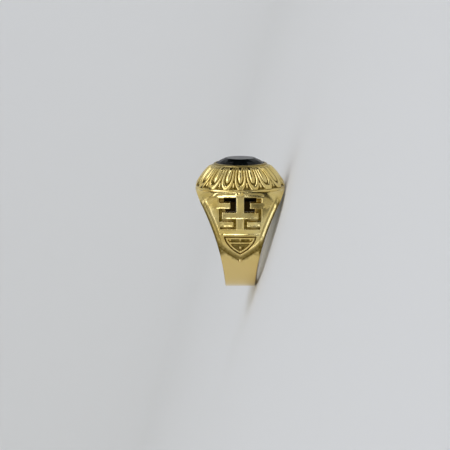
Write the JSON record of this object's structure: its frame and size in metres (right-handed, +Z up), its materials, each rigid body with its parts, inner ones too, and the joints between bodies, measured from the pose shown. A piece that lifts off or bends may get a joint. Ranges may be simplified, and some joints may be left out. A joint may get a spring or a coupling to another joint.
{
  "type": "onyx ring",
  "caption": "Gold ring with an oval faceted black stone, a domed head with an egg-and-dart band, raised shoulders with pierced fretwork and a plain shank, lying on its side.",
  "frame": {"origin": "centre of the bounding box on the surface that the ring lies on", "axes": "+X from the shank towards the stone, which is the longest way, +Y across the ring from shoulder to shoulder, +Z up from the surface. The ring lies on its side, so its finger hole's axis is near the vertical."},
  "size_m": [0.0272, 0.024, 0.0178],
  "materials": {
    "gold": "polished yellow gold",
    "onyx": "polished opaque black stone"
  },
  "bodies": {
    "root": {"ring_casting": "gold", "onyx_stone": "onyx"}
  },
  "joints": []
}
